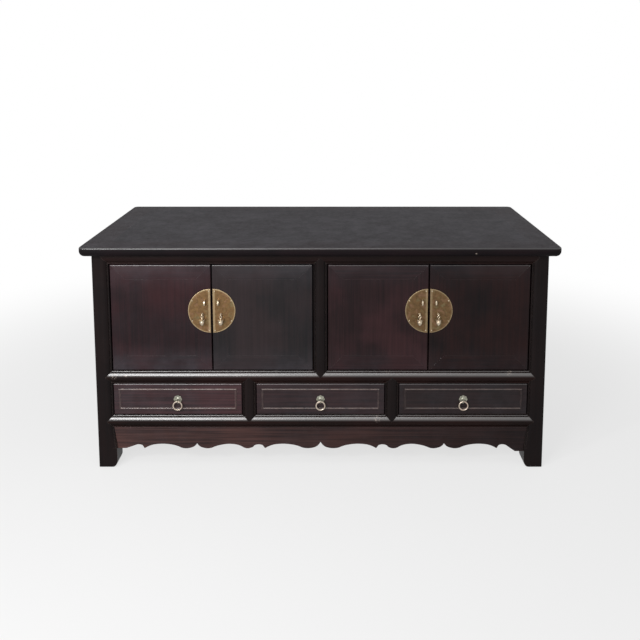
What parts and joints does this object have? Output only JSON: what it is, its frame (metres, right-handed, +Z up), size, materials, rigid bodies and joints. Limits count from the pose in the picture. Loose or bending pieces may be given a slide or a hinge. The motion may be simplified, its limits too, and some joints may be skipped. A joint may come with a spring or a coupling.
{
  "type": "low console cabinet",
  "caption": "Low lacquered console cabinet with pivot-hung doors on brass half-disc plates, ring-pull drawers below, a scalloped apron and moulded posts on short rounded feet.",
  "frame": {"origin": "middle of the footprint, on the floor", "axes": "+X to the right, +Y to the back, +Z up; the doors face -Y"},
  "size_m": [1.397, 0.648, 0.686],
  "materials": {
    "top_lacquer": "near-black lacquer, rubbed to a soft sheen",
    "frame_lacquer": "dark brown lacquer, worn at the edges",
    "panel_lacquer": "dark brown lacquer on flush panels",
    "apron_lacquer": "reddish brown lacquer",
    "door_frame_lacquer": "grey-brown lacquer",
    "door_panel_lacquer": "reddish brown lacquer",
    "drawer_lacquer": "reddish brown lacquer",
    "inner_wood": "plain unfinished softwood",
    "aged_brass": "aged hammered brass sheet",
    "worn_brass": "worn brass",
    "pale_brass": "pale worn brass"
  },
  "bodies": {
    "root": {"top_panel": "top_lacquer", "top_frame_long_rails": "top_lacquer", "top_frame_end_rails": "top_lacquer", "top_battens": "inner_wood", "post_front_left": "frame_lacquer", "post_front_right": "frame_lacquer", "post_back_left": "frame_lacquer", "post_back_right": "frame_lacquer", "front_top_rail": "frame_lacquer", "front_mid_rail": "frame_lacquer", "front_low_rail": "frame_lacquer", "centre_stile": "frame_lacquer", "drawer_stiles": "frame_lacquer", "left_side_rails": "frame_lacquer", "right_side_rails": "frame_lacquer", "left_side_panels": "panel_lacquer", "right_side_panels": "panel_lacquer", "back_frame": "frame_lacquer", "back_panels": "panel_lacquer", "cabinet_floor": "inner_wood", "centre_partition": "inner_wood", "drawer_runners": "inner_wood", "front_apron": "apron_lacquer", "side_aprons": "apron_lacquer"},
    "far_left_door": {"far_left_door_frame": "door_frame_lacquer", "far_left_door_panel": "door_panel_lacquer", "far_left_door_plate": "aged_brass", "far_left_door_fittings": "worn_brass"},
    "far_left_door_pendant": {"far_left_door_pendant": "worn_brass"},
    "mid_left_door": {"mid_left_door_frame": "door_frame_lacquer", "mid_left_door_panel": "door_panel_lacquer", "mid_left_door_plate": "aged_brass", "mid_left_door_fittings": "worn_brass"},
    "mid_left_door_pendant": {"mid_left_door_pendant": "worn_brass"},
    "mid_right_door": {"mid_right_door_frame": "door_frame_lacquer", "mid_right_door_panel": "door_panel_lacquer", "mid_right_door_plate": "aged_brass", "mid_right_door_fittings": "worn_brass"},
    "mid_right_door_pendant": {"mid_right_door_pendant": "worn_brass"},
    "far_right_door": {"far_right_door_frame": "door_frame_lacquer", "far_right_door_panel": "door_panel_lacquer", "far_right_door_plate": "aged_brass", "far_right_door_fittings": "worn_brass"},
    "far_right_door_pendant": {"far_right_door_pendant": "worn_brass"},
    "left_drawer": {"left_drawer_front": "drawer_lacquer", "left_drawer_box": "inner_wood", "left_drawer_bottom": "inner_wood", "left_drawer_rosette": "worn_brass"},
    "left_drawer_ring": {"left_drawer_ring": "pale_brass"},
    "middle_drawer": {"middle_drawer_front": "drawer_lacquer", "middle_drawer_box": "inner_wood", "middle_drawer_bottom": "inner_wood", "middle_drawer_rosette": "worn_brass"},
    "middle_drawer_ring": {"middle_drawer_ring": "pale_brass"},
    "right_drawer": {"right_drawer_front": "drawer_lacquer", "right_drawer_box": "inner_wood", "right_drawer_bottom": "inner_wood", "right_drawer_rosette": "worn_brass"},
    "right_drawer_ring": {"right_drawer_ring": "pale_brass"}
  },
  "joints": [
    {"name": "far_left_door_hinge", "type": "hinge", "parent": "root", "child": "far_left_door", "pos_m": [-0.6085, -0.279, 0.305], "axis": [0, 0, -1], "range_deg": [0, 100]},
    {"name": "far_left_door_pendant_swing", "type": "hinge", "parent": "far_left_door", "child": "far_left_door_pendant", "pos_m": [-0.34775, -0.2995, 0.476], "axis": [-1, 0, 0], "range_deg": [0, 90]},
    {"name": "mid_left_door_hinge", "type": "hinge", "parent": "root", "child": "mid_left_door", "pos_m": [-0.032, -0.279, 0.305], "axis": [0, 0, 1], "range_deg": [0, 85]},
    {"name": "mid_left_door_pendant_swing", "type": "hinge", "parent": "mid_left_door", "child": "mid_left_door_pendant", "pos_m": [-0.29275, -0.2995, 0.476], "axis": [-1, 0, 0], "range_deg": [0, 90]},
    {"name": "mid_right_door_hinge", "type": "hinge", "parent": "root", "child": "mid_right_door", "pos_m": [0.032, -0.279, 0.305], "axis": [0, 0, -1], "range_deg": [0, 85]},
    {"name": "mid_right_door_pendant_swing", "type": "hinge", "parent": "mid_right_door", "child": "mid_right_door_pendant", "pos_m": [0.29275, -0.2995, 0.476], "axis": [-1, 0, 0], "range_deg": [0, 90]},
    {"name": "far_right_door_hinge", "type": "hinge", "parent": "root", "child": "far_right_door", "pos_m": [0.6085, -0.279, 0.305], "axis": [0, 0, 1], "range_deg": [0, 100]},
    {"name": "far_right_door_pendant_swing", "type": "hinge", "parent": "far_right_door", "child": "far_right_door_pendant", "pos_m": [0.34775, -0.2995, 0.476], "axis": [-1, 0, 0], "range_deg": [0, 90]},
    {"name": "left_drawer_slide", "type": "slide", "parent": "root", "child": "left_drawer", "axis": [0, -1, 0], "range_m": [0, 0.4]},
    {"name": "left_drawer_ring_swing", "type": "hinge", "parent": "left_drawer", "child": "left_drawer_ring", "pos_m": [-0.427, -0.2965, 0.2097], "axis": [-1, 0, 0], "range_deg": [0, 90]},
    {"name": "middle_drawer_slide", "type": "slide", "parent": "root", "child": "middle_drawer", "axis": [0, -1, 0], "range_m": [0, 0.4]},
    {"name": "middle_drawer_ring_swing", "type": "hinge", "parent": "middle_drawer", "child": "middle_drawer_ring", "pos_m": [0, -0.2965, 0.2097], "axis": [-1, 0, 0], "range_deg": [0, 90]},
    {"name": "right_drawer_slide", "type": "slide", "parent": "root", "child": "right_drawer", "axis": [0, -1, 0], "range_m": [0, 0.4]},
    {"name": "right_drawer_ring_swing", "type": "hinge", "parent": "right_drawer", "child": "right_drawer_ring", "pos_m": [0.427, -0.2965, 0.2097], "axis": [-1, 0, 0], "range_deg": [0, 90]}
  ]
}
